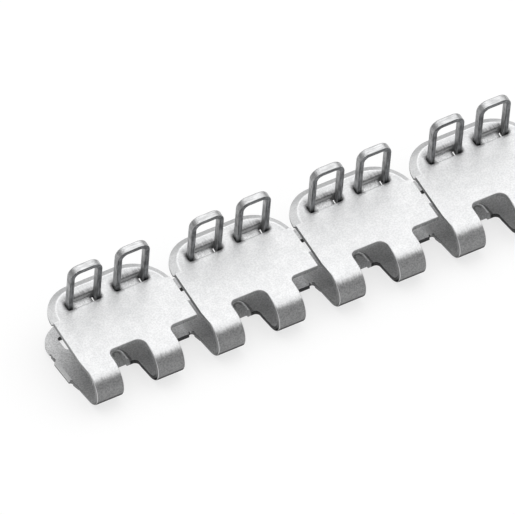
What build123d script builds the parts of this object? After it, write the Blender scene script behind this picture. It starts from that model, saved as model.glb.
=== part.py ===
"""Belt fastener strip: folded steel plates in one strip, with flat-wire staples pre-set in them.

Millimetres, +X along the strip, +Y to the staple edge, +Z up. The origin is at mid-length on the
hinge axis that runs through the loops. The strip is drawn standing on z = 0 and moved down at the end.
"""

import os
from math import cos, radians, sin

from build123d import *

# Strip
PLATE_COUNT = 4
PLATE_PITCH = 25.4
PLATE_GAP = 0.8                # between two lower plates
SHEET = 1.0

# Fold, seen from the end
BARREL_RADIUS = 4.0            # outside of the loop
JAW_ANGLE = radians(10.5)      # upper plate above the lower plate
LEG_ANGLE = radians(6.3)       # rise of the lower leg into the loop
LEG_LENGTH = 3.2
LEG_BEND = 8.0                 # underside radius where the leg leaves the flat
AXIS_HEIGHT = BARREL_RADIUS * cos(LEG_ANGLE) + LEG_LENGTH * sin(LEG_ANGLE) \
    + LEG_BEND * (1 - cos(LEG_ANGLE))
FLAT_START = -BARREL_RADIUS * sin(LEG_ANGLE) + LEG_LENGTH * cos(LEG_ANGLE) \
    + LEG_BEND * sin(LEG_ANGLE)

# Loops, two to a plate, evenly spaced along the strip
LOOP_WIDTH = 5.6
LOOP_PITCH = PLATE_PITCH / 2
LOOP_INSET = 0.35              # first loop in from the side of the lower plate
LOOP_CENTRE = LOOP_INSET + (LOOP_WIDTH - PLATE_PITCH + PLATE_GAP) / 2
LOOP_EDGES = [(LOOP_CENTRE + k * LOOP_PITCH - LOOP_WIDTH / 2,
               LOOP_CENTRE + k * LOOP_PITCH + LOOP_WIDTH / 2) for k in range(2)]

EDGE_ROLL = 0.2                # outside edge of the loops, rolled over by the shear

# Upper plate outline; distances back from the fold line
UPPER_DEPTH = 19.45
UPPER_ROOT = 2.7               # bottom of the gaps between loops
HALF_WIDTH = (PLATE_PITCH - PLATE_GAP) / 2
UPPER_WAIST = HALF_WIDTH - 0.05    # half width at the shoulder
CORNER_RADIUS = 6.5
CORNER_HALF_WIDTH = HALF_WIDTH + 0.3   # the coined corners are spread
NARROW_RADIUS = 8.3            # right corner of the upper plate, clear of the next plate
NARROW_HALF_WIDTH = HALF_WIDTH - 0.2
UPPER_ROOT_RADII = (1.1, 1.7, 1.1)

# Lower plate outline; distances back from the hinge axis
LOWER_BACK = 20.5
LOWER_ROOT = 4.65
LOWER_ROOT_SIDE = 5.45
LOWER_ROOT_RADII = (0.9, 0.9, 0.9)

# Coined edge
COIN_WIDTH = 1.2
COIN_SIDE_WIDTH = 1.6
COIN_SLOPE = 0.4
COIN_RADIUS = 5.0
COIN_LENGTH = 6.7              # from the back edge to where the coining ends
NARROW_COIN_WIDTH = 0.9        # at the narrow corner

# Webs that join the lower plates
WEB_FRONT = 5.85
WEB_BACK = 12.05
WEB_RELIEF = 0.55
SCORE_WIDTH = 1.1
SCORE_DEPTH = 0.35

# Staples
WIRE_THICKNESS = 0.94
WIRE_WIDTH = 1.6
WIRE_EDGE = 0.25
STAPLE_WIDTH = 6.7
STAPLE_OFFSET = 4.95           # each staple from the plate's middle
STAPLE_BACK = 15.05            # back from the fold line
STAPLE_HEIGHT = 10.45           # crown top above the plate
STAPLE_TIP = 2.2               # leg end below the plate's upper face
STAPLE_CORNER = 2.1            # outside of the crown corner
LEG_CENTRE = (STAPLE_WIDTH - WIRE_THICKNESS) / 2
LEG_POINT = 0.6

# Crown grooves and leg holes
FIT = 0.08
GROOVE_DEPTH = WIRE_THICKNESS + 0.02
GROOVE_ROLL = 0.6              # rolled edge of the groove's mouth
BOSS_WALL = 0.7
BOSS_DROP = 0.8
BOSS_CORNER = 0.8
BOSS_EDGE = 0.3

# Slots under the legs
SLOT_WIDTH = 3.0
SLOT_LENGTH = 3.8
SLOT_CENTRE = 15.2
SLOT_CORNER = 0.6

# Belt stop
STOP_OFFSET = -2.3
STOP_WIDTH = 3.0
STOP_BACK = 8.2
STOP_HEIGHT = 0.9
STOP_EDGE = 0.5
STOP_RECESS = 0.6

UPPER = Plane(
    origin=(0, -BARREL_RADIUS * sin(JAW_ANGLE), AXIS_HEIGHT + BARREL_RADIUS * cos(JAW_ANGLE)),
    x_dir=(1, 0, 0),
    z_dir=(0, -sin(JAW_ANGLE), cos(JAW_ANGLE)),
)


def plate_centres():
    """Middle of each plate along the strip."""
    return [(k - (PLATE_COUNT - 1) / 2) * PLATE_PITCH for k in range(PLATE_COUNT)]


def around_axis(radius, angle):
    """Point at a radius from the hinge axis; the angle is from straight up, forwards."""
    return (-radius * sin(angle), AXIS_HEIGHT + radius * cos(angle))


def fold_face(overlap):
    """Section of one loop, with a stub of each plate behind it."""
    runs = []
    for depth in (0.0, SHEET):
        radius = BARREL_RADIUS - depth
        top = around_axis(radius, JAW_ANGLE)
        front = around_axis(radius, radians(95))
        low = around_axis(radius, radians(180) - LEG_ANGLE)
        leg = (low[0] + LEG_LENGTH * cos(LEG_ANGLE), low[1] - LEG_LENGTH * sin(LEG_ANGLE))
        bend = LEG_BEND - depth
        half = LEG_ANGLE / 2
        middle = (FLAT_START - bend * sin(half), depth + bend * (1 - cos(half)))
        runs.append({
            "stub": (top[0] + overlap * cos(JAW_ANGLE), top[1] + overlap * sin(JAW_ANGLE)),
            "top": top, "front": front, "low": low, "leg": leg, "middle": middle,
            "flat": (FLAT_START, depth), "end": (FLAT_START + overlap, depth),
        })
    edges = []
    for run in runs:
        edges += [
            Line(run["stub"], run["top"]),
            ThreePointArc(run["top"], run["front"], run["low"]),
            Line(run["low"], run["leg"]),
            ThreePointArc(run["leg"], run["middle"], run["flat"]),
            Line(run["flat"], run["end"]),
        ]
    edges += [Line(runs[0]["stub"], runs[1]["stub"]), Line(runs[0]["end"], runs[1]["end"])]
    return Plane.YZ * make_face(edges)


def loops():
    """Both loops of a plate."""
    section = fold_face(1.0)
    return [Pos(left, 0, 0) * extrude(section, right - left) for left, right in LOOP_EDGES]


def rounded_back(corners, front, back):
    """Plate shape with a straight front and two rounded back corners."""
    (left, left_radius), (right, right_radius) = corners
    shape = Pos((right - left) / 2, (front + back) / 2) * Rectangle(left + right, back - front)
    for x, radius in ((-left, left_radius), (right, right_radius)):
        shape = fillet(shape.vertices().sort_by_distance((x, back, 0))[0], radius)
    return shape


def coined_cap(corners, back, side):
    """Body that leaves the coined slope on the back edge when a plate is cut down to it."""
    front = -PLATE_PITCH
    reach = SHEET / COIN_SLOPE
    spread = [(half_width + reach, radius + reach) for half_width, radius in corners]
    inner = rounded_back(corners, front, back - COIN_WIDTH)
    outer = rounded_back(spread, front - reach, back - COIN_WIDTH + reach)
    cap = loft([inner, Pos(0, 0, side * SHEET) * outer], ruled=True)
    uncoined = back - COIN_LENGTH - front
    return cap + Pos(0, front + uncoined / 2, side * SHEET / 2) * Box(
        PLATE_PITCH, uncoined, SHEET)


def plate_outline(front, sides, corners, back, roots, radii):
    """One plate seen square on: loop stubs in front, straight sides, rounded back."""
    (left, inner_left), (inner_right, right) = LOOP_EDGES
    (left_width, left_radius), (right_width, right_radius) = corners
    left_side, right_side = sides
    left_flat, right_flat = left_width - left_radius, right_width - right_radius
    left_start, right_start = back - left_radius, back - right_radius
    left_diagonal, right_diagonal = (r * sin(radians(45)) for r in (left_radius, right_radius))
    middle_root, side_root = roots
    shape = make_face([
        Polyline([(left, front)] + [(-x, y) for x, y in left_side] + [(-left_width, left_start)]),
        ThreePointArc((-left_width, left_start),
                      (-left_flat - left_diagonal, left_start + left_diagonal),
                      (-left_flat, back)),
        Line((-left_flat, back), (right_flat, back)),
        ThreePointArc((right_flat, back),
                      (right_flat + right_diagonal, right_start + right_diagonal),
                      (right_width, right_start)),
        Polyline([(right_width, right_start)] + right_side[::-1] + [
            (right, side_root), (right, front), (inner_right, front), (inner_right, middle_root),
            (inner_left, middle_root), (inner_left, front), (left, front)]),
    ])
    inside = ((inner_left, middle_root), (inner_right, middle_root), (right, side_root))
    for (x, y), radius in zip(inside, radii):
        shape = fillet(shape.vertices().sort_by_distance((x, y, 0))[0], radius)
    return shape


def staple_spots():
    """Middles of a plate's two staples in the upper plane."""
    return [(-STAPLE_OFFSET, STAPLE_BACK), (STAPLE_OFFSET, STAPLE_BACK)]


def crown_groove():
    """Groove the crown drops into, with a hole through its floor for each leg."""
    width = WIRE_WIDTH + 2 * FIT
    groove = extrude(Pos(0, 0, -GROOVE_DEPTH) * RectangleRounded(
        STAPLE_WIDTH + 2 * FIT, width, WIRE_EDGE + FIT), GROOVE_DEPTH + SHEET)
    hole = extrude(Pos(0, 0, FIT - GROOVE_DEPTH) * Rectangle(
        WIRE_THICKNESS + 2 * FIT, width), -4 * SHEET)
    for side in (-1, 1):
        groove += [Pos(side * LEG_CENTRE, 0, 0) * hole, hole_mouth(side)]
    return groove


def groove_mouth(plate):
    """Edges of both crown grooves in the face of a plate."""
    half_length = STAPLE_WIDTH / 2 + FIT
    half_width = WIRE_WIDTH / 2 + FIT
    return [edge for edge in plate.edges().filter_by_position(Axis.Z, -FIT / 2, FIT / 2)
            if abs(abs(edge.center().X) - STAPLE_OFFSET) < half_length + FIT
            and abs(edge.center().Y - STAPLE_BACK) < half_width + FIT]


def hole_mouth(side):
    """Round on the inner edge of a leg hole, where the inside corner of the staple beds down."""
    radius = STAPLE_CORNER - WIRE_THICKNESS - FIT
    edge = side * (LEG_CENTRE - WIRE_THICKNESS / 2 - FIT)
    start = edge - side * radius
    inside = radius * cos(radians(45))
    section = make_face([
        Line((start, -GROOVE_DEPTH), (edge, -GROOVE_DEPTH)),
        Line((edge, -GROOVE_DEPTH), (edge, -GROOVE_DEPTH - radius)),
        ThreePointArc((edge, -GROOVE_DEPTH - radius),
                      (start + side * inside, inside - radius - GROOVE_DEPTH),
                      (start, -GROOVE_DEPTH)),
    ])
    return extrude(Plane.XZ * section, WIRE_WIDTH / 2 + FIT, both=True)


def groove_boss():
    """Sheet pushed down under a crown groove."""
    shape = extrude(Pos(0, 0, -SHEET / 2) * RectangleRounded(
        STAPLE_WIDTH + 2 * BOSS_WALL, WIRE_WIDTH + 2 * BOSS_WALL, BOSS_CORNER),
        -SHEET / 2 - BOSS_DROP)
    return fillet(shape.edges().group_by(Axis.Z)[0], BOSS_EDGE)


def upper_plate():
    """Upper plate with its coined edge and crown grooves, in place on the upper plane."""
    shoulder = (UPPER_WAIST, UPPER_ROOT)
    sides = ([shoulder, (HALF_WIDTH, UPPER_DEPTH - COIN_LENGTH)], [shoulder])
    corners = ((CORNER_HALF_WIDTH, CORNER_RADIUS), (NARROW_HALF_WIDTH, NARROW_RADIUS))
    ridge = ((CORNER_HALF_WIDTH - COIN_SIDE_WIDTH, COIN_RADIUS),
             (NARROW_HALF_WIDTH - NARROW_COIN_WIDTH, NARROW_RADIUS - NARROW_COIN_WIDTH))
    outline = plate_outline(0, sides, corners, UPPER_DEPTH, (UPPER_ROOT, UPPER_ROOT),
                            UPPER_ROOT_RADII)
    plate = extrude(outline, -SHEET) & coined_cap(ridge, UPPER_DEPTH, -1)
    for x, y in staple_spots():
        plate = plate + Pos(x, y, 0) * groove_boss() - Pos(x, y, 0) * crown_groove()
    return UPPER * fillet(groove_mouth(plate), GROOVE_ROLL)


def stop_shape(width, back, height):
    """Round-ended lug outline, pulled up from the plane it stands on."""
    radius = width / 2
    length = back - LOWER_ROOT
    shape = Pos(STOP_OFFSET, LOWER_ROOT + (length - radius) / 2) * Rectangle(
        width, length - radius) + Pos(STOP_OFFSET, back - radius) * Circle(radius)
    return extrude(shape, height)


def lower_plate():
    """Lower plate with its coined underside edge, slots and belt stop."""
    side = [(HALF_WIDTH, LOWER_ROOT_SIDE), (HALF_WIDTH, LOWER_BACK - COIN_LENGTH)]
    corner = (CORNER_HALF_WIDTH, CORNER_RADIUS)
    ridge = (CORNER_HALF_WIDTH - COIN_SIDE_WIDTH, COIN_RADIUS)
    outline = plate_outline(FLAT_START, (side, side), (corner, corner), LOWER_BACK,
                            (LOWER_ROOT, LOWER_ROOT_SIDE), LOWER_ROOT_RADII)
    plate = extrude(outline, SHEET) & coined_cap((ridge, ridge), LOWER_BACK, 1)
    lug = stop_shape(STOP_WIDTH, STOP_BACK, SHEET + STOP_HEIGHT)
    lug = fillet(lug.edges().group_by(Axis.Z)[-1].filter_by(
        lambda edge: edge.center().Y > LOWER_ROOT + 0.1), STOP_EDGE)
    plate = plate + lug - stop_shape(STOP_WIDTH - SHEET, STOP_BACK - SHEET / 2, STOP_RECESS)
    slot = extrude(RectangleRounded(SLOT_WIDTH, SLOT_LENGTH, SLOT_CORNER), SHEET)
    for x, _ in staple_spots():
        for side in (-1, 1):
            plate -= Pos(x + side * LEG_CENTRE, SLOT_CENTRE, 0) * slot
    return plate


def web():
    """Scored web between two lower plates."""
    half = PLATE_PITCH / 2 - HALF_WIDTH
    length = WEB_BACK - WEB_FRONT
    bar = Pos(0, (WEB_FRONT + WEB_BACK) / 2, SHEET / 2) * Box(4 * half, length, SHEET)
    score = extrude(Plane.XZ.offset(-WEB_BACK) * make_face(Polyline(
        (-SCORE_WIDTH / 2, SHEET), (0, SHEET - SCORE_DEPTH), (SCORE_WIDTH / 2, SHEET),
        (-SCORE_WIDTH / 2, SHEET))), length)
    return bar, score


def web_reliefs():
    """Round nicks at the two ends of a web."""
    return [Pos(0, y, SHEET / 2) * Cylinder(WEB_RELIEF, 2 * SHEET)
            for y in (WEB_FRONT - WEB_RELIEF / 2, WEB_BACK + WEB_RELIEF / 2)]


def folded_plate():
    """One plate in one piece, with the outside edges of its loops rolled over.

    The roll runs on from each loop as far as its edge runs on smoothly, round the gap's corners.
    """
    plate = upper_plate()
    for piece in [*loops(), lower_plate()]:
        plate += piece
    arcs = [edge for edge in plate.edges().filter_by(GeomType.CIRCLE)
            if abs(edge.radius - BARREL_RADIUS) < SHEET / 100]
    return fillet(arcs, EDGE_ROLL)


def fastener_strip():
    """The whole folded strip as one piece."""
    plate = folded_plate()
    strip = Part() + [Pos(x, 0, 0) * plate for x in plate_centres()]
    bar, score = web()
    for k in range(PLATE_COUNT + 1):
        place = Pos((k - PLATE_COUNT / 2) * PLATE_PITCH, 0, 0)
        strip = strip + place * bar - [place * cut for cut in (score, *web_reliefs())]
    length = PLATE_COUNT * PLATE_PITCH
    return strip & Box(length, 4 * PLATE_PITCH, 4 * PLATE_PITCH)


def staple():
    """One flat-wire staple, standing in its groove with its leg ends in the holes."""
    outer = STAPLE_WIDTH / 2
    inner = outer - WIRE_THICKNESS
    crown = STAPLE_HEIGHT - WIRE_THICKNESS
    shape = make_face(Polyline(
        (-outer, -STAPLE_TIP), (-outer, STAPLE_HEIGHT), (outer, STAPLE_HEIGHT),
        (outer, -STAPLE_TIP), (inner, -STAPLE_TIP + LEG_POINT), (inner, crown),
        (-inner, crown), (-inner, -STAPLE_TIP + LEG_POINT), (-outer, -STAPLE_TIP)))
    for x, y, radius in ((outer, STAPLE_HEIGHT, STAPLE_CORNER),
                         (inner, crown, STAPLE_CORNER - WIRE_THICKNESS)):
        for side in (-1, 1):
            shape = fillet(shape.vertices().sort_by_distance((side * x, y, 0))[0], radius)
    wire = extrude(Plane.XZ * shape, WIRE_WIDTH / 2, both=True)
    flats = wire.faces().filter_by(Axis.Y)
    return fillet(flats.edges(), WIRE_EDGE)


def build():
    """Write one STEP file for each sub-part, with the hinge axis moved to the origin."""
    os.makedirs("parts", exist_ok=True)
    place = Pos(0, 0, -AXIS_HEIGHT)
    export_step(place * fastener_strip(), "parts/fastener_strip.step")
    wire = staple()
    for number, x in enumerate(plate_centres(), start=1):
        for side, (offset, back) in zip(("left", "right"), staple_spots()):
            seated = UPPER * (Pos(x + offset, back, 0) * wire)
            export_step(place * seated, f"parts/staple_{number}_{side}.step")


build()
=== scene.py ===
"""Looks of the belt fastener strip: galvanised folded plates and drawn flat-wire staples.

Everything is in metres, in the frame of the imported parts: the origin is on the hinge axis, +X runs
along the strip, +Y to the staple edge and +Z up. Sizes inside the materials are in millimetres.
"""

import logging
import math
from dataclasses import dataclass, replace
from enum import Enum
from typing import Any, Optional, Union

import bpy  # noqa: E402
from mathutils import Matrix, Vector  # noqa: E402


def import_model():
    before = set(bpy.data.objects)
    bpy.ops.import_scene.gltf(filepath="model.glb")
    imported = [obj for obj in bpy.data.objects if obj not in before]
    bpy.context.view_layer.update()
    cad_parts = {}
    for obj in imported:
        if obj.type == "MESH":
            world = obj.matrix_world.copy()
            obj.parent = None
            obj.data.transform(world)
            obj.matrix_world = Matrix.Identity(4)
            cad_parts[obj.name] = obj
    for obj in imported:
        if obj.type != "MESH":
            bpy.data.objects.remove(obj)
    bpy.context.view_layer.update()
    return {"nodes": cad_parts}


LOG = logging.getLogger("fastener_strip")
MM = 0.001
NOISE_MIDDLE = 0.5

Colour = tuple[float, float, float]
Triple = tuple[float, float, float]
Socket = bpy.types.NodeSocket
Value = Union[float, Socket]


class Op(Enum):
    """Arithmetic used in the materials."""

    ADD = "ADD"
    SUBTRACT = "SUBTRACT"
    MULTIPLY = "MULTIPLY"
    DIVIDE = "DIVIDE"
    ABSOLUTE = "ABSOLUTE"
    MAXIMUM = "MAXIMUM"
    MODULO = "FLOORED_MODULO"
    ABOVE = "GREATER_THAN"
    BELOW = "LESS_THAN"


class Side(Enum):
    """Which of a plate's two staples."""

    LEFT = "left"
    RIGHT = "right"


@dataclass(frozen=True)
class Step:
    """Smooth step from one result to another.

    Attributes:
        low: value at which the step starts.
        high: value at which it ends.
        start: result below low.
        end: result above high.
    """

    low: float
    high: float
    start: float = 0.0
    end: float = 1.0

    def moved(self, by: float) -> "Step":
        """The same step further along."""
        return replace(self, low=self.low + by, high=self.high + by)


@dataclass(frozen=True)
class Band:
    """Band with a smooth edge on either side.

    Attributes:
        start: value at which the band starts to rise.
        full: value at which it is at its level.
        fade: value at which it starts to fall.
        end: value at which it is gone.
        level: result inside the band.
    """

    start: float
    full: float
    fade: float
    end: float
    level: float = 1.0


@dataclass(frozen=True)
class Grain:
    """How a noise is drawn.

    Attributes:
        per_mm: features for each millimetre.
        detail: octaves.
        rough: strength of the finer octaves.
        drawn: factor along each axis, small where the noise is drawn out.
    """

    per_mm: float
    detail: float
    rough: float
    drawn: Triple = (1.0, 1.0, 1.0)


class Graph:
    """Lays the nodes of one material or world and wires them up."""

    def __init__(self, tree: bpy.types.NodeTree) -> None:
        """Start from an empty tree.

        Args:
            tree: the node tree to fill; what is in it is cleared.
        """
        self.tree = tree
        self.tree.nodes.clear()

    def node(self, kind: str, **settings: Any) -> bpy.types.Node:
        """Add a node.

        Args:
            kind: Blender's node type name.
            **settings: attributes to set on it.

        Returns:
            The new node.
        """
        made = self.tree.nodes.new(kind)
        for name, value in settings.items():
            setattr(made, name, value)
        return made

    def feed(self, target: Socket, value: Any) -> None:
        """Link a socket to an input, or set the input to a plain value.

        Args:
            target: the input socket.
            value: an output socket, a number or a tuple.
        """
        if isinstance(value, bpy.types.NodeSocket):
            self.tree.links.new(value, target)
        else:
            target.default_value = value

    def math(self, op: Op, first: Value, second: Optional[Value] = None,
             clamp: bool = False) -> Socket:
        """One arithmetic step.

        Args:
            op: what to do.
            first: left-hand value.
            second: right-hand value, where the step has one.
            clamp: keep the result between 0 and 1.

        Returns:
            The result's socket.
        """
        made = self.node("ShaderNodeMath", operation=op.value, use_clamp=clamp)
        self.feed(made.inputs[0], first)
        if second is not None:
            self.feed(made.inputs[1], second)
        return made.outputs[0]

    def product(self, first: Value, second: Value, *others: Value) -> Socket:
        """Product of two values or more.

        Args:
            first: one of them.
            second: another.
            *others: the rest, if there are more.

        Returns:
            The product's socket.
        """
        result = self.math(Op.MULTIPLY, first, second)
        for other in others:
            result = self.math(Op.MULTIPLY, result, other)
        return result

    def rest(self, value: Value) -> Socket:
        """What a share leaves over: 1 less the value."""
        return self.math(Op.SUBTRACT, 1.0, value)

    def vector(self, op: str, first: Any, second: Any = (0.0, 0.0, 0.0)) -> bpy.types.Node:
        """Node for a step of vector arithmetic.

        Args:
            op: Blender's name of the step.
            first: left-hand vector.
            second: right-hand vector, where the step has one.

        Returns:
            The new node.
        """
        made = self.node("ShaderNodeVectorMath", operation=op)
        self.feed(made.inputs[0], first)
        self.feed(made.inputs[1], second)
        return made

    def dot(self, first: Any, second: Any) -> Socket:
        """Dot product of two vectors, as a number's socket."""
        return self.vector("DOT_PRODUCT", first, second).outputs["Value"]

    def length(self, vector: Any) -> Socket:
        """Length of a vector, as a number's socket."""
        return self.vector("LENGTH", vector).outputs["Value"]

    def stretch(self, vector: Any, factors: Triple) -> Socket:
        """The vector times a factor along each axis."""
        return self.vector("MULTIPLY", vector, factors).outputs["Vector"]

    def scale(self, colour: Any, factor: Value) -> Socket:
        """Make a colour lighter or darker.

        Args:
            colour: the colour, as a tuple or a socket.
            factor: what it is multiplied by.

        Returns:
            The result's socket.
        """
        made = self.vector("SCALE", colour)
        self.feed(made.inputs["Scale"], factor)
        return made.outputs["Vector"]

    def combine(self, x: Value, y: Value, z: Value) -> Socket:
        """Put a vector together.

        Args:
            x: its first number.
            y: its second number.
            z: its third number.

        Returns:
            The vector's socket.
        """
        made = self.node("ShaderNodeCombineXYZ")
        for target, value in zip(made.inputs, (x, y, z)):
            self.feed(target, value)
        return made.outputs[0]

    def parts(self, vector: Any) -> list[Socket]:
        """Take a vector apart.

        Args:
            vector: the vector.

        Returns:
            Sockets of its three numbers.
        """
        made = self.node("ShaderNodeSeparateXYZ")
        self.feed(made.inputs[0], vector)
        return list(made.outputs)

    def surface(self) -> tuple[Socket, Socket]:
        """Find the place on the piece that is being shaded.

        Returns:
            Sockets of the place in millimetres and of the surface's normal there.
        """
        coordinates = self.node("ShaderNodeTexCoord")
        point = self.stretch(coordinates.outputs["Object"], (1 / MM, 1 / MM, 1 / MM))
        return point, coordinates.outputs["Normal"]

    def ramp(self, value: Value, step: Step) -> Socket:
        """Smooth step of a value.

        Args:
            value: what is mapped.
            step: where the step is and what it goes between.

        Returns:
            The result's socket.
        """
        made = self.node("ShaderNodeMapRange", interpolation_type="SMOOTHSTEP")
        self.feed(made.inputs["Value"], value)
        for name, number in (("From Min", step.low), ("From Max", step.high),
                             ("To Min", step.start), ("To Max", step.end)):
            made.inputs[name].default_value = number
        return made.outputs["Result"]

    def band(self, value: Value, band: Band) -> Socket:
        """Smooth band of a value.

        Args:
            value: what is mapped.
            band: where the band is.

        Returns:
            The result's socket, zero outside the band.
        """
        return self.product(self.ramp(value, Step(band.start, band.full)),
                            self.ramp(value, Step(band.fade, band.end, band.level, 0.0)))

    def noise(self, vector: Any, grain: Grain) -> Socket:
        """Fractal noise, 0 to 1.

        Args:
            vector: place in millimetres.
            grain: how the noise is drawn.

        Returns:
            The noise's socket.
        """
        made = self.node("ShaderNodeTexNoise", noise_dimensions="3D")
        self.feed(made.inputs["Vector"], self.stretch(vector, grain.drawn))
        made.inputs["Scale"].default_value = grain.per_mm
        made.inputs["Detail"].default_value = grain.detail
        made.inputs["Roughness"].default_value = grain.rough
        return made.outputs["Fac"]

    def mix(self, data: str, kind: str, share: Value, first: Any, second: Any) -> Socket:
        """Mix of two values of one kind.

        Args:
            data: what the node mixes, in Blender's word.
            kind: type of its sockets for that.
            share: 0 for the first, 1 for the second.
            first: value or socket.
            second: value or socket.

        Returns:
            The mixed value's socket.
        """
        made = self.node("ShaderNodeMix", data_type=data, clamp_factor=True)
        self.feed(made.inputs["Factor"], share)
        for name, value in (("A", first), ("B", second)):
            target = next(s for s in made.inputs if s.name == name and s.type == kind)
            self.feed(target, value)
        return next(s for s in made.outputs if s.type == kind)

    def blend(self, share: Value, first: Any, second: Any) -> Socket:
        """Mix of two colours.

        Args:
            share: 0 for the first, 1 for the second.
            first: colour or socket.
            second: colour or socket.

        Returns:
            The mixed colour's socket.
        """
        first, second = ((*colour, 1.0) if isinstance(colour, tuple) else colour
                         for colour in (first, second))
        return self.mix("RGBA", "RGBA", share, first, second)

    def slide(self, share: Value, first: Value, second: Value) -> Socket:
        """Mix of two numbers, 0 for the first and 1 for the second."""
        return self.mix("FLOAT", "VALUE", share, first, second)

    def rounded(self, across: Value, along: Value, radius: float) -> Socket:
        """Distance outside a shape with round corners.

        Args:
            across: distance across, past the middle of the corner's arc.
            along: distance along, past the middle of the corner's arc.
            radius: radius of the corner.

        Returns:
            The distance's socket, below zero inside.
        """
        corner = self.combine(self.math(Op.MAXIMUM, across, 0.0),
                              self.math(Op.MAXIMUM, along, 0.0), 0.0)
        return self.math(Op.SUBTRACT, self.length(corner), radius)

    def bump(self, height: Value, depth_mm: float, under: Optional[Socket] = None) -> Socket:
        """Relief on the surface.

        Args:
            height: 0 to 1.
            depth_mm: depth of the relief from 0 to 1, below zero for a hollow.
            under: normal of the relief below this one.

        Returns:
            The normal's socket.
        """
        made = self.node("ShaderNodeBump", invert=depth_mm < 0)
        made.inputs["Strength"].default_value = 1.0
        made.inputs["Distance"].default_value = abs(depth_mm) * MM
        self.feed(made.inputs["Height"], height)
        if under is not None:
            self.feed(made.inputs["Normal"], under)
        return made.outputs["Normal"]


@dataclass(frozen=True)
class Fold:
    """Sizes of one folded plate, which tell its material where everything is.

    Attributes:
        pitch: from plate to plate along the strip.
        barrel: outside radius of the loops.
        jaw: angle between the two plates.
        axis: height of the hinge axis over the floor.
        leg_rise: rise of the lower leg into the loops.
        staple_offset: staples from the plate's middle.
        staple_back: staples from the fold line.
        groove_half: half length of a crown groove.
        groove_mouth: from the middle of a groove to the edge of its rolled mouth.
        leg_spread: each leg from the middle of its staple.
        coin_left: half width inside the coined edge, on the left.
        coin_right: half width inside the coined edge, on the right.
        coin_back: depth of the plate inside the coined edge.
        coin_left_radius: left corner radius of the ridge inside the coined edge.
        coin_right_radius: its right corner radius.
        coin_front: where the coining ends, back from the fold line.
        stop_offset: belt stop from the plate's middle.
        stop_radius: radius of its round end.
        stop_centre: middle of its round end, back from the hinge axis.
    """

    pitch: float = 25.4
    barrel: float = 4.0
    jaw: float = math.radians(10.5)
    axis: float = 4.3753
    leg_rise: float = math.radians(6.3)
    staple_offset: float = 4.95
    staple_back: float = 15.05
    groove_half: float = 3.43
    groove_mouth: float = 1.48
    leg_spread: float = 2.88
    coin_left: float = 11.0
    coin_right: float = 11.2
    coin_back: float = 18.25
    coin_left_radius: float = 5.0
    coin_right_radius: float = 7.4
    coin_front: float = 12.75
    stop_offset: float = -2.3
    stop_radius: float = 1.5
    stop_centre: float = 6.7

    @property
    def up(self) -> Triple:
        """Normal of the upper plate."""
        return (0.0, -math.sin(self.jaw), math.cos(self.jaw))

    @property
    def back(self) -> Triple:
        """Direction from the fold line to the coined edge in the upper plate."""
        return (0.0, math.cos(self.jaw), math.sin(self.jaw))

    @property
    def to_left_end(self) -> float:
        """From the strip's middle to its left end: two plates."""
        return 2 * self.pitch

    @property
    def lower_top(self) -> float:
        """Height over the hinge axis below which the lower plate lies."""
        return -self.barrel / 2

    @property
    def leg_start(self) -> float:
        """Place along Y where the loops run out into the lower leg."""
        return -self.barrel * math.sin(self.leg_rise)


@dataclass(frozen=True)
class Bend:
    """How far round the front of the loops the sheet is stretched.

    Attributes:
        streaks: noise that frays its borders.
        fray: how far it frays them.
        front: heights that it takes in, as shares of the radius.
        outside: depth below the outer skin down to which it goes.
    """

    streaks: Grain = Grain(1.0, 3.0, 0.6, (2.6, 0.4, 0.4))
    fray: float = 0.25
    front: Band = Band(-0.92, -0.75, 0.6, 0.82)
    outside: Step = Step(0.4, 0.7, 1.0, 0.0)


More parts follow.
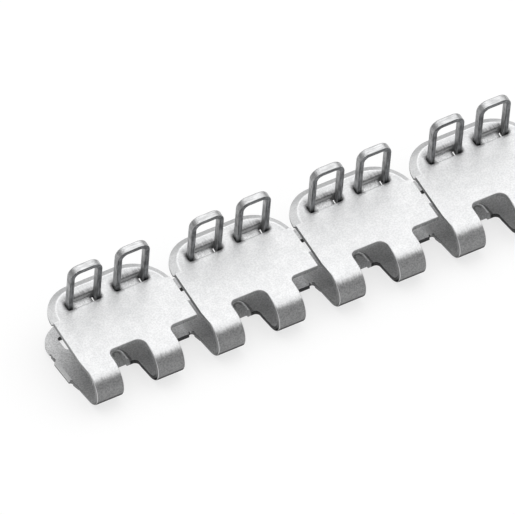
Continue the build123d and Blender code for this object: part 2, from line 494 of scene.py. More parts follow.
@dataclass
class FoldPlaces:
    """Sockets that say where on a folded plate a point is, all in millimetres.

    Attributes:
        point: the place itself.
        along: from the middle of its plate, along the strip.
        back: from the fold line, in the upper plate.
        depth: from the hinge axis, along Y.
        height: over the hinge axis.
        under: depth below the outer skin.
        upper: 1 on the upper plate.
        lower: 1 on the lower plate.
        loop: 1 on the loops.
        bend: 1 on the outside of the loops, where the sheet is stretched round the front.
        skin: how squarely the surface faces out of the sheet, 1 on its skins, 0 on its edges.
        aside: from the middle of the nearer staple, along the strip.
        behind: from the middle of the crown grooves, in the upper plate.
        stop: from the outline of the belt stop, below zero on it.
    """

    point: Socket
    along: Socket
    back: Socket
    depth: Socket
    height: Socket
    under: Socket
    upper: Socket
    lower: Socket
    loop: Socket
    bend: Socket
    skin: Socket
    aside: Socket
    behind: Socket
    stop: Socket

    @classmethod
    def find(cls, graph: Graph, fold: Fold) -> "FoldPlaces":
        """Work the places out from the object's own coordinates.

        Args:
            graph: the material's graph.
            fold: sizes of the plate.

        Returns:
            The sockets.
        """
        point, normal = graph.surface()
        x, y, z = graph.parts(point)
        from_end = graph.math(Op.ADD, x, fold.to_left_end)
        along = graph.math(Op.SUBTRACT, graph.math(Op.MODULO, from_end, fold.pitch),
                           fold.pitch / 2)
        back = graph.dot(point, fold.back)
        radial = graph.stretch(point, (0.0, 1.0, 1.0))
        radius = graph.length(radial)
        upper = graph.product(graph.math(Op.ABOVE, back, 0.0), graph.math(Op.ABOVE, z, 0.0))
        lower = graph.product(graph.math(Op.ABOVE, y, fold.leg_start),
                              graph.math(Op.BELOW, z, fold.lower_top))
        loop = graph.math(Op.SUBTRACT, graph.rest(upper), lower)
        leg_skin = graph.math(Op.SUBTRACT, -fold.barrel,
                              graph.product(y, math.tan(fold.leg_rise)))
        under = graph.slide(lower, graph.math(Op.SUBTRACT, fold.barrel, radius), graph.math(
            Op.SUBTRACT, z, graph.math(Op.MAXIMUM, leg_skin, -fold.axis)))
        under = graph.slide(upper, under, graph.math(
            Op.SUBTRACT, fold.barrel, graph.dot(point, fold.up)))
        square = graph.math(Op.DIVIDE, graph.dot(normal, radial), radius)
        skin = graph.slide(lower, square, graph.dot(normal, (0.0, 0.0, 1.0)))
        skin = graph.math(Op.ABSOLUTE, graph.slide(upper, skin, graph.dot(normal, fold.up)))
        aside = graph.math(Op.SUBTRACT, graph.math(Op.ABSOLUTE, along), fold.staple_offset)
        lug = graph.math(Op.SUBTRACT, along, fold.stop_offset)
        return cls(
            point=point, along=along, back=back, depth=y, height=z, under=under, upper=upper,
            lower=lower, loop=loop, skin=skin,
            bend=cls._bend(graph, Bend(), point, graph.math(Op.DIVIDE, z, radius), under, loop),
            aside=graph.math(Op.ABSOLUTE, aside),
            behind=graph.math(Op.SUBTRACT, back, fold.staple_back),
            stop=graph.rounded(graph.math(Op.ABSOLUTE, lug), graph.math(
                Op.SUBTRACT, y, fold.stop_centre), fold.stop_radius))

    @staticmethod
    def _bend(graph: Graph, bend: Bend, point: Socket, turned: Socket, under: Socket,
              loop: Socket) -> Socket:
        """Where the sheet is stretched round the front of the loops.

        Args:
            graph: the material's graph.
            bend: how far round that goes.
            point: the place.
            turned: height over the hinge axis, as a share of the radius.
            under: depth below the outer skin.
            loop: 1 on the loops.

        Returns:
            1 where it is stretched.
        """
        streaks = graph.math(Op.SUBTRACT, graph.noise(point, bend.streaks), NOISE_MIDDLE)
        turned = graph.math(Op.ADD, turned, graph.product(streaks, bend.fray))
        return graph.product(graph.band(turned, bend.front), graph.ramp(under, bend.outside),
                             loop)


def finished(made: bpy.types.Material, graph: Graph, metallic: Value, gloss: Value,
             colour: Socket, rough: Socket, normal: Socket) -> bpy.types.Material:
    """Close a metal finish with its shader.

    Args:
        made: the material.
        graph: its graph.
        metallic: share of bare metal in what is seen.
        gloss: gloss of what covers the rest.
        colour: colour of the metal.
        rough: roughness.
        normal: normal with the relief in it.

    Returns:
        The material.
    """
    shader = graph.node("ShaderNodeBsdfPrincipled")
    graph.feed(shader.inputs["Metallic"], metallic)
    graph.feed(shader.inputs["Specular IOR Level"], gloss)
    graph.feed(shader.inputs["Base Color"], colour)
    graph.feed(shader.inputs["Roughness"], rough)
    graph.feed(shader.inputs["Normal"], normal)
    output = graph.node("ShaderNodeOutputMaterial")
    graph.feed(output.inputs["Surface"], shader.outputs[0])
    return made


@dataclass(frozen=True)
class SheetSkin:
    """Mottled zinc skin, dull inside the fold and where it is stretched.

    Attributes:
        bright: colour of the clean skin.
        dull: colour of its duller patches.
        patches: noise of the patches.
        patch: how far that noise makes a patch.
        specks: how the fine grain lightens and darkens the skin.
        mottling: the same where the skin is rubbed.
        rubbed_and_top_lit: depth below the outer skin from which it is rubbed, too.
        inner: depth below the outer skin from which the inside of the fold gets painted shade.
        inside: how much darker that painted shade makes it.
        open_side: painted light near the plate's two open sides, lifting that shade.
        left_side: how far that painted light reaches towards the left.
        left_depth: how that grows back from the hinge axis.
        right_side: how far it reaches towards the right.
        right_side: how clean it is towards the right.
        slope_shade: painted shade on the sloping rolled edges of the upper plate.
        front_shade: painted shade round the front of the loops, as a factor on the colour.
        fading: how that grows from front to back.
        rim: height below which the loops' rim gets painted shade.
        rim_shade: how much darker that painted shade makes it.
    """

    bright: Colour = (0.71, 0.713, 0.717)
    dull: Colour = (0.68, 0.684, 0.689)
    patches: Grain = Grain(0.6, 3.0, 0.6)
    patch: Step = Step(0.35, 0.65)
    specks: Step = Step(0.35, 0.65, 0.88, 1.07)
    mottling: Step = Step(0.35, 0.65, 0.74, 1.16)
    rubbed_and_top_lit: Step = Step(0.7, 0.85)
    inner: Step = Step(0.6, 0.85)
    inside: float = 0.64
    open_side: float = 1.6
    left_side: Step = Step(-11.8, -5.0, 0.45, 0.0)
    left_depth: Step = Step(2.0, 10.0)
    right_side: Step = Step(8.0, 11.5)
    slope_shade: Step = Step(0.3, 0.97, 0.55, 1.0)
    front_shade: float = 0.45
    fading: Step = Step(-3.6, -1.5, 1.0, 0.72)
    rim: Step = Step(-1.9, -1.2, 1.0, 0.0)
    rim_shade: float = 0.4

    def rim_shade_mask(self, graph: Graph, places: FoldPlaces) -> Socket:
        """1 on the rim below the loops, which gets painted shade."""
        return graph.product(places.bend, graph.ramp(places.height, self.rim))

    def shade(self, graph: Graph, places: FoldPlaces, grain: Socket) -> Socket:
        """How much lighter or darker the skin is than its own colour, with painted shade and light.

        Args:
            graph: the material's graph.
            places: where on the plate a point is.
            grain: fine noise.

        Returns:
            A factor on the colour.
        """
        rubbed_and_top_lit = graph.math(Op.MAXIMUM, places.bend, graph.ramp(places.under, self.rubbed_and_top_lit))
        specks = graph.slide(rubbed_and_top_lit, graph.ramp(grain, self.specks),
                             graph.ramp(grain, self.mottling))
        # Painted shade inside the fold, lifted by painted light near the plate's open sides.
        left = graph.product(graph.ramp(places.along, self.left_side),
                             graph.ramp(places.depth, self.left_depth))
        lightened = graph.math(Op.MAXIMUM, left, graph.ramp(places.along, self.right_side))
        lightened = graph.slide(lightened, self.inside, self.open_side * self.inside)
        inner = graph.slide(graph.ramp(places.under, self.inner), 1.0,
                            graph.slide(places.upper, lightened, self.inside))
        # Painted shade round the front of the loops; on the rim below them it is darker still.
        bend_shade = graph.slide(places.bend, 1.0, graph.product(
            graph.ramp(places.depth, self.fading), self.front_shade,
            graph.slide(self.rim_shade_mask(graph, places), 1.0, self.rim_shade)))
        # Painted shade on the upper plate's rolled edges.
        slope_shade = graph.slide(places.upper, 1.0, graph.ramp(places.skin, self.slope_shade))
        return graph.product(specks, inner, bend_shade, slope_shade)


@dataclass(frozen=True)
class PressMarks:
    """Painted light and shade at the coined edge, the lanced belt stop and the drawn crown grooves.

    Attributes:
        coin_front: where the coined edge starts, from the place where the coining ends.
        ridge: painted highlight on the ridge inside the coined edge, by the distance from it.
        hollow: painted shade in the hollow inside that ridge.
        coined: where the coined edge itself starts, outside the ridge.
        coin_shade: painted shade on the coined edge, by how far back.
        lance: painted shadow in the lanced slit round the stop.
        crest: painted highlight on the stop's upper edge.
        nose: painted shade in the hollow of the stop's round end.
        nose_back: where that starts, from the middle of the round end.
        stop_top: painted light on the stop's top.
        ragged: noise that frays the streaks behind the grooves.
        raggedness: how far it frays them.
        wall: where the painted shade in streaks starts, behind the middle of a groove.
        streaks: how dark that painted shade is and how far back it goes.
        floor: where the painted highlight on the floor of a groove is, from its middle.
        floor_ends: that highlight, by the distance from the staple's middle; painted shade by the
            legs.
        mouth: where the painted shade at the front of a groove's mouth is.
        mouth_ends: how dark it is, by the distance from the staple's middle.
        groove_ends: where all this ends, from the end of a groove.
    """

    coin_front: Step = Step(-0.1, 0.1)
    ridge: Step = Step(0.05, 0.25, 0.12, 0.0)
    hollow: Band = Band(-1.2, -0.6, -0.4, -0.12, 0.1)
    coined: Step = Step(0.0, 0.1)
    coin_shade: Step = Step(16.5, 18.5, 0.1, 0.27)
    lance: Band = Band(0.15, 0.3, 0.6, 0.8, 0.5)
    crest: Band = Band(-0.6, -0.45, -0.1, 0.1, 1.4)
    nose: Band = Band(-1.15, -1.0, -0.8, -0.6, 0.6)
    nose_back: Step = Step(-0.6, 0.0)
    stop_top: Step = Step(-0.6, -0.5, 0.35, 0.0)
    ragged: Grain = Grain(1.0, 3.0, 0.7, (3.0, 0.5, 0.5))
    raggedness: float = 1.8
    wall: Step = Step(0.9, 1.1)
    streaks: Step = Step(1.6, 3.4, 0.82, 0.0)
    floor: Band = Band(-1.0, -0.9, 0.9, 1.0)
    floor_ends: Step = Step(1.9, 2.2, 0.6, -0.3)
    mouth: Band = Band(-1.8, -1.5, -0.9, -0.7)
    mouth_ends: Step = Step(1.8, 2.1, 0.0, 0.35)
    groove_ends: Step = Step(-0.95, 0.6, 1.0, 0.0)

    def shade(self, graph: Graph, places: FoldPlaces, fold: Fold) -> Socket:
        """How the painted light and shade at the marks lighten and darken the sheet.

        Args:
            graph: the material's graph.
            places: where on the plate a point is.
            fold: sizes of the plate.

        Returns:
            A factor on the colour.
        """
        shade = graph.math(Op.ADD, 1.0, self._coin(graph, places, fold))
        shade = graph.math(Op.ADD, shade, self._stop(graph, places, fold))
        return graph.math(Op.ADD, shade, self._grooves(graph, places, fold))

    def _coin(self, graph: Graph, places: FoldPlaces, fold: Fold) -> Socket:
        """Painted highlight on the coined edge's ridge, painted shade in its hollow and on its rim.

        Args:
            graph: the material's graph.
            places: where on the plate a point is.
            fold: sizes of the plate.

        Returns:
            How much brighter, below zero where it is darker.
        """
        left, right = (graph.rounded(
            graph.math(Op.SUBTRACT, graph.product(places.along, way), half - radius),
            graph.math(Op.SUBTRACT, places.back, fold.coin_back - radius), radius)
            for way, half, radius in (
                (-1.0, fold.coin_left, fold.coin_left_radius),
                (1.0, fold.coin_right, fold.coin_right_radius)))
        ridge = graph.slide(graph.math(Op.ABOVE, places.along, 0.0), left, right)
        # Painted highlight on the ridge; painted shade in the hollow and on the coined rim.
        line = graph.ramp(graph.math(Op.ABSOLUTE, ridge), self.ridge)
        coin = graph.product(graph.ramp(ridge, self.coined),
                             graph.ramp(places.back, self.coin_shade))
        press = graph.math(Op.SUBTRACT, graph.math(
            Op.SUBTRACT, line, graph.band(ridge, self.hollow)), coin)
        return graph.product(press, places.upper, graph.ramp(
            places.back, self.coin_front.moved(fold.coin_front)))

    def _stop(self, graph: Graph, places: FoldPlaces, fold: Fold) -> Socket:
        """Painted light on the belt stop, painted shadow round it and in its round end's hollow.

        Args:
            graph: the material's graph.
            places: where on the plate a point is.
            fold: sizes of the plate.

        Returns:
            How much brighter, below zero where it is darker.
        """
        # Painted highlight and light on the stop; painted shadow round it and in its hollow.
        bright = graph.math(Op.ADD, graph.band(places.stop, self.crest),
                            graph.ramp(places.stop, self.stop_top))
        nose = graph.product(graph.band(places.stop, self.nose), graph.ramp(
            places.depth, self.nose_back.moved(fold.stop_centre)))
        dark = graph.math(Op.ADD, graph.band(places.stop, self.lance), nose)
        return graph.product(graph.math(Op.SUBTRACT, bright, dark), places.lower)

    def _grooves(self, graph: Graph, places: FoldPlaces, fold: Fold) -> Socket:
        """Painted highlight in the crown grooves, painted shade behind and in front of them.

        Args:
            graph: the material's graph.
            places: where on the plate a point is.
            fold: sizes of the plate.

        Returns:
            How much brighter, below zero where it is darker.
        """
        fray = graph.product(graph.noise(places.point, self.ragged), self.raggedness)
        # Painted shade behind the groove in streaks and at its mouth; painted highlight on its
        # floor.
        dull = graph.product(graph.ramp(places.behind, self.wall), graph.ramp(
            graph.math(Op.ADD, places.behind, fray), self.streaks))
        shaded_dark = graph.product(graph.band(places.behind, self.mouth),
                               graph.ramp(places.aside, self.mouth_ends))
        floor = graph.product(graph.band(places.behind, self.floor),
                              graph.ramp(places.aside, self.floor_ends))
        bright = graph.math(Op.SUBTRACT, floor, graph.math(Op.ADD, dull, shaded_dark))
        return graph.product(bright, places.upper, graph.ramp(
            places.aside, self.groove_ends.moved(fold.groove_half)))


@dataclass(frozen=True)
class ShearedEdges:
    """Torn sheared edges, some rolled over by the shear, with painted shade and highlights.

    Attributes:
        sheared: colour of the torn part on the upper plate.
        shaded_dark: colour of the painted shade on edges of the loops and the lower plate.
        burnished_and_highlit: colour of rolled edges: burnished metal and a painted highlight.
        polished: roughness of rolled edges.
        roughness: roughness of the torn part.
        cover: how far the torn part's colour hides the skin's.
        edge: how squarely out of the sheet a surface faces before it is no edge.
        torn_upper: depth below the skin from which an edge of the upper plate is torn.
        torn_loop: the same on the loops.
        groove_ends: the crown grooves, from the middle of a staple.
        groove_sides: the crown grooves, from their own middle.
        groove_torn: how far the walls in them are torn.
        broken: where the webs are broken off, along the strip.
        broken_top: depth from which the break gets a painted highlight, over the underside.
        left_torn: how far the lower plate is torn towards its left side, its edges painted lighter.
        striation: how the striae lighten and darken the torn part.
        edge_shade_height: painted shade on the loops' edges, by height.
        edge_shade_along: the same, along the strip.
        edge_shade_stop: where painted shade starts on the lower plate, outside the belt stop.
        rolled: how squarely out of the sheet a rolled edge faces.
    """

    sheared: Colour = (0.36, 0.363, 0.367)
    shaded_dark: Colour = (0.02, 0.0205, 0.0215)
    burnished_and_highlit: Colour = (0.76, 0.763, 0.767)
    polished: float = 0.28
    roughness: float = 0.75
    cover: float = 0.9
    edge: Step = Step(0.2, 0.5, 1.0, 0.0)
    torn_upper: Step = Step(0.3, 0.45)
    torn_loop: Step = Step(0.1, 0.2)
    groove_ends: Step = Step(2.3, 2.5, 1.0, 0.0)
    groove_sides: Step = Step(1.3, 1.5, 1.0, 0.0)
    groove_torn: float = 0.5
    broken: Step = Step(-12.6, -12.4, 1.0, 0.0)
    broken_top: Step = Step(0.35, 0.5)
    left_torn: Step = Step(-11.5, -10.0, 0.6, 1.0)
    striation: Step = Step(0.3, 0.7, 0.8, 1.5)
    edge_shade_height: Step = Step(-2.5, 0.5, 1.0, 0.2)
    edge_shade_along: Step = Step(-11.0, -9.0, 0.2, 1.0)
    edge_shade_stop: Step = Step(0.0, 0.3)
    rolled: Band = Band(0.12, 0.4, 0.8, 0.9)

    def found(self, graph: Graph, places: FoldPlaces) -> Socket:
        """1 on sheared edges."""
        return graph.ramp(places.skin, self.edge)

    def laid(self, graph: Graph, places: FoldPlaces, striae: Socket, colour: Socket,
             rough: Socket) -> tuple[Socket, Socket]:
        """Lay the edges over the skin.

        Args:
            graph: the material's graph.
            places: where on the plate a point is.
            striae: noise drawn out through the sheet.
            colour: colour of the skin.
            rough: roughness of the skin.

        Returns:
            Colour and roughness with the edges in them.
        """
        # Painted highlight on the top of the broken webs at the left end.
        lit_break = graph.product(self.found(graph, places), places.lower,
                            graph.ramp(places.along, self.broken),
                            graph.ramp(places.under, self.broken_top))
        torn = self._torn(graph, places, lit_break)
        # Painted shade on the edges of the loops and the lower plate.
        shade = graph.scale(graph.blend(self._edge_shade(graph, places), self.sheared, self.shaded_dark),
                            graph.ramp(striae, self.striation))
        colour = graph.blend(graph.product(torn, self.cover), colour, shade)
        # Rolled edges get burnished metal's colour and a painted highlight.
        rolled = graph.math(Op.MAXIMUM, lit_break, graph.product(
            graph.band(places.skin, self.rolled), graph.rest(places.upper)))
        colour = graph.blend(rolled, colour, self.burnished_and_highlit)
        rough = graph.slide(rolled, rough, self.polished)
        return colour, graph.slide(torn, rough, self.roughness)

    def _torn(self, graph: Graph, places: FoldPlaces, lit_break: Socket) -> Socket:
        """How far an edge is torn.

        Args:
            graph: the material's graph.
            places: where on the plate a point is.
            lit_break: 1 on the top of the broken webs, which gets a painted highlight.

        Returns:
            1 where it is torn.
        """
        depth = graph.slide(places.lower, graph.ramp(places.under, self.torn_loop), 1.0)
        depth = graph.slide(places.upper, depth, graph.ramp(places.under, self.torn_upper))
        groove = graph.product(
            graph.ramp(places.aside, self.groove_ends), places.upper,
            graph.ramp(graph.math(Op.ABSOLUTE, places.behind), self.groove_sides))
        # Painted light on the lower plate's edges towards its left side.
        left = graph.slide(places.lower, 1.0, graph.ramp(places.along, self.left_torn))
        return graph.product(self.found(graph, places), depth, graph.rest(lit_break), left,
                             graph.slide(groove, 1.0, self.groove_torn))

    def _edge_shade(self, graph: Graph, places: FoldPlaces) -> Socket:
        """How much painted shade an edge gets.

        Args:
            graph: the material's graph.
            places: where on the plate a point is.

        Returns:
            1 where it is painted dark.
        """
        loops = graph.product(places.loop, graph.ramp(places.height, self.edge_shade_height),
                              graph.ramp(places.along, self.edge_shade_along))
        return graph.math(Op.MAXIMUM, loops, graph.product(
            places.lower, graph.ramp(places.stop, self.edge_shade_stop)))


@dataclass(frozen=True)
class SheetRelief:
    """Fine relief of the sheet.

    Attributes:
        seat_mm: depth to which the sheet is drawn down into the crown grooves.
        seat_reach: how far that reaches in front of a groove and behind it.
        seat_ends: where it ends, from the end of a groove.
        seat_front: how much of it there is in front of a groove.
        foot_mm: depth of the seat round each leg.
        foot: where that seat ends, from the middle of the leg.
        wrinkles: noise of the wrinkles on the loops.
        wrinkle_mm: depth of the wrinkles.
        striae_mm: depth of the striae in sheared edges.
        grain_mm: depth of the fine grain.
    """

    seat_mm: float = -0.3
    seat_reach: Step = Step(-0.3, 0.3, 0.7, 1.3)
    seat_ends: Step = Step(-0.3, 0.9, 1.0, 0.0)
    seat_front: Step = Step(-1.2, 1.2, 0.12, 1.0)
    foot_mm: float = 0.04
    foot: Step = Step(0.8, 1.8)
    wrinkles: Grain = Grain(1.0, 2.0, 0.5, (2.2, 0.5, 0.5))
    wrinkle_mm: float = 0.03
    striae_mm: float = 0.04
    grain_mm: float = 0.012

    def normal(self, graph: Graph, places: FoldPlaces, fold: Fold, grain: Socket,
               striae: Socket) -> Socket:
        """Put the relief on the surface.

        Args:
            graph: the material's graph.
            places: where on the plate a point is.
            fold: sizes of the plate.
            grain: fine noise.
            striae: noise drawn out through the sheet, zero off the sheared edges.

        Returns:
            The normal's socket.
        """
        reach = graph.ramp(places.behind, self.seat_reach)
        near = graph.math(Op.SUBTRACT, graph.math(Op.ADD, reach, fold.groove_mouth),
                          graph.math(Op.ABSOLUTE, places.behind))
        near = graph.math(Op.DIVIDE, near, reach, clamp=True)
        seat = graph.product(near, near, places.upper,
                             graph.ramp(places.aside, self.seat_ends.moved(fold.groove_half)),
                             graph.ramp(places.behind, self.seat_front))
        leg = graph.combine(graph.math(Op.SUBTRACT, places.aside, fold.leg_spread),
                            places.behind, 0.0)
        foot = graph.product(graph.ramp(graph.length(leg), self.foot), places.upper)
        wrinkles = graph.product(graph.noise(places.point, self.wrinkles), places.loop)
        normal = graph.bump(seat, self.seat_mm)
        normal = graph.bump(foot, self.foot_mm, normal)
        normal = graph.bump(wrinkles, self.wrinkle_mm, normal)
        normal = graph.bump(striae, self.striae_mm, normal)
        return graph.bump(grain, self.grain_mm, normal)


@dataclass(frozen=True)
class GalvanisedSheet:
    """Satin zinc-coated sheet with press marks, sheared edges and painted light and shade.

    Attributes:
        skin: the sheet's two skins.
        marks: painted light and shade at what the press leaves on them.
        edges: its edges.
        relief: its relief.
        grain: fine noise all over it.
        striae: noise drawn out through the sheet.
        metallic: share of bare metal in what is seen.
        gloss: gloss of what covers the rest.
        rough_clean: roughness of the clean skin.
        rough_dull: roughness of its duller patches.
        rough_grain: how the fine grain changes the roughness.
    """

    skin: SheetSkin = SheetSkin()
    marks: PressMarks = PressMarks()
    edges: ShearedEdges = ShearedEdges()
    relief: SheetRelief = SheetRelief()
    grain: Grain = Grain(3.2, 3.0, 0.7)
    striae: Grain = Grain(1.0, 2.0, 0.6, (6.0, 6.0, 0.6))
    metallic: float = 0.5
    gloss: float = 0.5
    rough_clean: float = 0.43
    rough_dull: float = 0.49
    rough_grain: Step = Step(0.3, 0.7, -0.05, 0.05)

    def material(self, fold: Fold) -> bpy.types.Material:
        """Build the material.

        Args:
            fold: sizes of the plate it covers.

        Returns:
            The material.
        """
        made = bpy.data.materials.new("galvanised_sheet")
        made.use_nodes = True
        graph = Graph(made.node_tree)
        places = FoldPlaces.find(graph, fold)
        patches = graph.ramp(graph.noise(places.point, self.skin.patches), self.skin.patch)
        grain = graph.noise(places.point, self.grain)
        striae = graph.noise(places.point, self.striae)
        # Colour with the painted light and shade of the skin and of the press marks.
        colour = graph.scale(graph.blend(patches, self.skin.dull, self.skin.bright),
                             graph.product(self.skin.shade(graph, places, grain),
                                           self.marks.shade(graph, places, fold)))
        rough = graph.math(Op.ADD, graph.slide(patches, self.rough_dull, self.rough_clean),
                           graph.ramp(grain, self.rough_grain))
        colour, rough = self.edges.laid(graph, places, striae, colour, rough)
        scored = graph.product(striae, self.edges.found(graph, places))
        normal = self.relief.normal(graph, places, fold, grain, scored)
        # Painted shade on the rim below the loops: darker colour and no reflections there.
        rim_shade_mask = self.skin.rim_shade_mask(graph, places)
        return finished(made, graph, graph.slide(rim_shade_mask, self.metallic, 0.0),
                        graph.slide(rim_shade_mask, self.gloss, 0.0), colour, rough, normal)


@dataclass(frozen=True)
class DrawnWire:
    """Flat wire with fine draw marks along its length.

    Attributes:
        bright: colour of the clean wire.
        dull: colour in the draw marks.
        rubbed_and_top_lit: colour of the crowns' tops, painted lighter where they face up.
        scale: colour of the narrow faces, painted shade.
        shade_patch: lighter colour in patches of that painted shade.
        leg_marks: noise of the draw marks on the legs.
        crown_marks: the same on the crown.
        turn: where one goes over into the other, from the height of the crown.
        patches: noise of the duller patches.
        mark_share: share of the draw marks in the wire's tone.
        narrow: how squarely forward or back a narrow face faces.
        top: how squarely up the top of a crown faces.
        lightened: how far the tone moves the wire to its bright colour.
        top_mottle: how the tone lightens and darkens the painted light on the tops.
        shade_patches: how far the tone makes those patches.
        metallic: share of bare metal in what is seen.
        gloss: gloss of what covers the rest.
        rough: roughness of the wire, by its tone.
        mark_mm: depth of the draw marks.
    """

    bright: Colour = (0.4, 0.403, 0.407)
    dull: Colour = (0.15, 0.153, 0.157)
    rubbed_and_top_lit: Colour = (0.48, 0.483, 0.487)
    scale: Colour = (0.1, 0.102, 0.105)
    shade_patch: Colour = (0.26, 0.2652, 0.273)
    leg_marks: Grain = Grain(1.0, 3.0, 0.6, (7.0, 7.0, 0.35))
    crown_marks: Grain = Grain(1.0, 3.0, 0.6, (0.35, 7.0, 7.0))
    turn: Step = Step(-1.2, -0.2)
    patches: Grain = Grain(0.7, 2.0, 0.5)
    mark_share: float = 0.7
    narrow: Step = Step(0.3, 0.65)
    top: Step = Step(0.1, 0.75)
    lightened: Step = Step(0.34, 0.6)
    top_mottle: Step = Step(0.38, 0.62, 0.86, 1.2)
    shade_patches: Step = Step(0.4, 0.6)
    metallic: float = 1.0
    gloss: float = 0.5
    rough: Step = Step(0.3, 0.7, 0.46, 0.3)
    mark_mm: float = 0.035

    def material(self, fold: Fold, crown: float) -> bpy.types.Material:
        """Build the material.

        Args:
            fold: sizes of the plate that the staples stand in.
            crown: height above the plate at which the wire turns over.

        Returns:
            The material.
        """
        made = bpy.data.materials.new("drawn_wire")
        made.use_nodes = True
        graph = Graph(made.node_tree)
        point, normal = graph.surface()
        height = graph.math(Op.SUBTRACT, graph.dot(point, fold.up), fold.barrel)
        place = graph.combine(graph.parts(point)[0], graph.dot(point, fold.back), height)
        marks = graph.slide(graph.ramp(height, self.turn.moved(crown)),
                            graph.noise(place, self.leg_marks),
                            graph.noise(place, self.crown_marks))
        tone = graph.slide(self.mark_share, graph.noise(point, self.patches), marks)
        colour = graph.blend(graph.ramp(tone, self.lightened), self.dull, self.bright)
        # Painted light on the crowns' tops, which face up.
        rubbed_and_top_lit = graph.scale(self.rubbed_and_top_lit, graph.ramp(tone, self.top_mottle))
        colour = graph.blend(graph.ramp(graph.dot(normal, fold.up), self.top), colour, rubbed_and_top_lit)
        # Painted shade on the narrow faces, lighter in patches.
        narrow_shade = graph.blend(graph.ramp(tone, self.shade_patches), self.scale, self.shade_patch)
        facing = graph.math(Op.ABSOLUTE, graph.dot(normal, fold.back))
        colour = graph.blend(graph.ramp(facing, self.narrow), colour, narrow_shade)
        return finished(made, graph, self.metallic, self.gloss, colour,
                        graph.ramp(tone, self.rough), graph.bump(marks, self.mark_mm))


@dataclass
class PlateStrip:
    """The folded strip, one piece from end to end.

    Attributes:
        node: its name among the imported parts.
        fold: sizes of one plate.
        finish: what it is finished with.
    """

    node: str = "fastener_strip"
    fold: Fold = Fold()
    finish: GalvanisedSheet = GalvanisedSheet()

    def dress(self, nodes: dict[str, bpy.types.Object]) -> bpy.types.Object:
        """Give the strip its finish.

        Args:
            nodes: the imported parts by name.

        Returns:
            The dressed strip.
        """
        strip = nodes[self.node]
        cover(strip, self.finish.material(self.fold))
        return strip


@dataclass
class StapleSet:
    """All the flat-wire staples, standing pre-set in the plates.

    Attributes:
        plates: how many plates the strip has.
        crown: height of the crown's inside above the plate.
        fold: sizes of one plate.
        finish: what the wire is finished with.
    """

    plates: int = 4
    crown: float = 9.5
    fold: Fold = Fold()
    finish: DrawnWire = DrawnWire()

    def dress(self, nodes: dict[str, bpy.types.Object]) -> list[bpy.types.Object]:
        """Give every staple its finish.

        Args:
            nodes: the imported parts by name.

        Returns:
            The dressed staples.
        """
        wire = self.finish.material(self.fold, self.crown)
        dressed = []
        for number in range(1, self.plates + 1):
            for side in Side:
                staple = nodes[f"staple_{number}_{side.value}"]
                cover(staple, wire)
                dressed.append(staple)
        return dressed


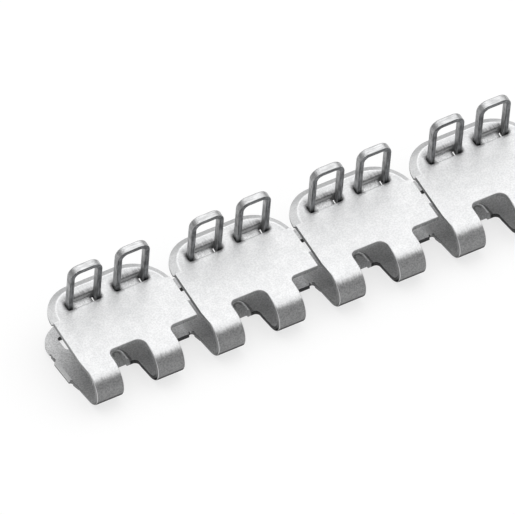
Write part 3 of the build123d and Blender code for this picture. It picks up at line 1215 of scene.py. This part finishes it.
@dataclass
class Studio:
    """Pale floor, soft light from above and behind, and the camera at the photograph's angle.

    Attributes:
        floor_z: height of the floor in the parts' frame.
        floor_half: half width of the floor.
        floor_seen: colour of the floor to the eye and in reflections.
        floor_bounce: colour of the light that it scatters back.
        floor_lift: share of plain white in the floor as the eye sees it.
        light_from: direction of the middle of the bright part of the sky.
        sky: brightness of the sky, by how near it is to that direction.
        backdrop_from: direction of the middle of the lit backdrop.
        backdrop: brightness of the backdrop, by how near it is to that direction.
        target: point in the middle of the picture.
        towards: direction from there to the camera.
        right: direction of the picture's right.
        view_width: width of what the picture shows.
        lens: focal length.
        sensor: width of the film.
        clip: nearest and farthest distance that is shown.
    """

    floor_z: float = -4.39 * MM
    floor_half: float = 4.0
    floor_seen: Colour = (0.92, 0.92, 0.92)
    floor_bounce: Colour = (0.35, 0.35, 0.35)
    floor_lift: float = 0.7
    light_from: Triple = (0.22, 0.05, 0.974)
    sky: Step = Step(0.42, 0.92, 0.34, 1.86)
    backdrop_from: Triple = (0.33, 0.5, 0.8)
    backdrop: Step = Step(0.86, 0.97, 0.0, 1.2)
    target: Triple = (-12.36 * MM, 2.89 * MM, 11.475 * MM)
    towards: Triple = (-0.329, -0.6484, 0.6865)
    right: Triple = (0.8753, -0.4818, -0.0356)
    view_width: float = 94.6 * MM
    lens: float = 1000.0
    sensor: float = 36.0
    clip: tuple[float, float] = (0.05, 20.0)

    def floor(self) -> bpy.types.Object:
        """Lay the floor.

        Returns:
            The floor.
        """
        half = self.floor_half
        mesh = bpy.data.meshes.new("floor")
        mesh.from_pydata([(x, y, self.floor_z) for x, y in
                          ((-half, -half), (half, -half), (half, half), (-half, half))],
                         [], [(0, 1, 2, 3)])
        sheet = bpy.data.objects.new("floor", mesh)
        bpy.context.scene.collection.objects.link(sheet)
        made = bpy.data.materials.new("pale_floor")
        made.use_nodes = True
        graph = Graph(made.node_tree)
        path = graph.node("ShaderNodeLightPath")
        seen = graph.math(Op.MAXIMUM, path.outputs["Is Camera Ray"], graph.math(
            Op.MAXIMUM, path.outputs["Is Glossy Ray"], path.outputs["Is Transmission Ray"]))
        matt = graph.node("ShaderNodeBsdfDiffuse")
        graph.feed(matt.inputs["Color"], graph.blend(seen, self.floor_bounce, self.floor_seen))
        white = graph.node("ShaderNodeEmission")
        white.inputs["Strength"].default_value = 1.0
        mixed = graph.node("ShaderNodeMixShader")
        graph.feed(mixed.inputs[0], graph.product(seen, self.floor_lift))
        graph.feed(mixed.inputs[1], matt.outputs[0])
        graph.feed(mixed.inputs[2], white.outputs[0])
        output = graph.node("ShaderNodeOutputMaterial")
        graph.feed(output.inputs["Surface"], mixed.outputs[0])
        mesh.materials.append(made)
        return sheet

    def light(self) -> bpy.types.World:
        """Set the soft light.

        Returns:
            The world that gives it.
        """
        world = bpy.data.worlds.new("soft_studio")
        bpy.context.scene.world = world
        world.use_nodes = True
        graph = Graph(world.node_tree)
        way = graph.node("ShaderNodeTexCoord").outputs["Generated"]
        sky, backdrop = (graph.ramp(graph.dot(way, tuple(Vector(middle).normalized())), step)
                         for middle, step in ((self.light_from, self.sky),
                                              (self.backdrop_from, self.backdrop)))
        background = graph.node("ShaderNodeBackground")
        background.inputs["Color"].default_value = (1.0, 1.0, 1.0, 1.0)
        graph.feed(background.inputs["Strength"], graph.math(Op.MAXIMUM, sky, backdrop))
        output = graph.node("ShaderNodeOutputWorld")
        graph.feed(output.inputs["Surface"], background.outputs[0])
        return world

    def camera(self) -> bpy.types.Object:
        """Set the camera with a long lens, as the photograph has next to no perspective.

        Returns:
            The camera.
        """
        data = bpy.data.cameras.new("camera")
        data.type = "PERSP"
        data.lens = self.lens
        data.sensor_width = self.sensor
        data.clip_start, data.clip_end = self.clip
        data.dof.use_dof = False
        distance = self.view_width * self.lens / self.sensor
        back = Vector(self.towards).normalized()
        side = Vector(self.right)
        side = (side - side.dot(back) * back).normalized()
        turn = Matrix((side, back.cross(side), back)).transposed().to_4x4()
        seen = bpy.data.objects.new("camera", data)
        seen.matrix_world = Matrix.Translation(Vector(self.target) + back * distance) @ turn
        scene = bpy.context.scene
        scene.collection.objects.link(seen)
        scene.camera = seen
        scene.view_settings.view_transform = "Standard"
        return seen


def cover(piece: bpy.types.Object, finish: bpy.types.Material) -> None:
    """Put one material in every slot of a piece.

    Args:
        piece: the piece.
        finish: the material.
    """
    if not piece.material_slots:
        piece.data.materials.append(finish)
    for slot in piece.material_slots:
        slot.material = finish


def main() -> None:
    """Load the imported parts, dress them and set up the studio."""
    logging.basicConfig(level=logging.INFO, format="%(name)s: %(message)s")
    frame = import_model()
    strip = PlateStrip().dress(frame["nodes"])
    LOG.info("dressed %s", strip.name)
    for staple in StapleSet().dress(frame["nodes"]):
        LOG.info("dressed %s", staple.name)
    studio = Studio()
    LOG.info("laid %s", studio.floor().name)
    LOG.info("lit by %s", studio.light().name)
    LOG.info("seen by %s", studio.camera().name)


if __name__ == "__main__":
    main()
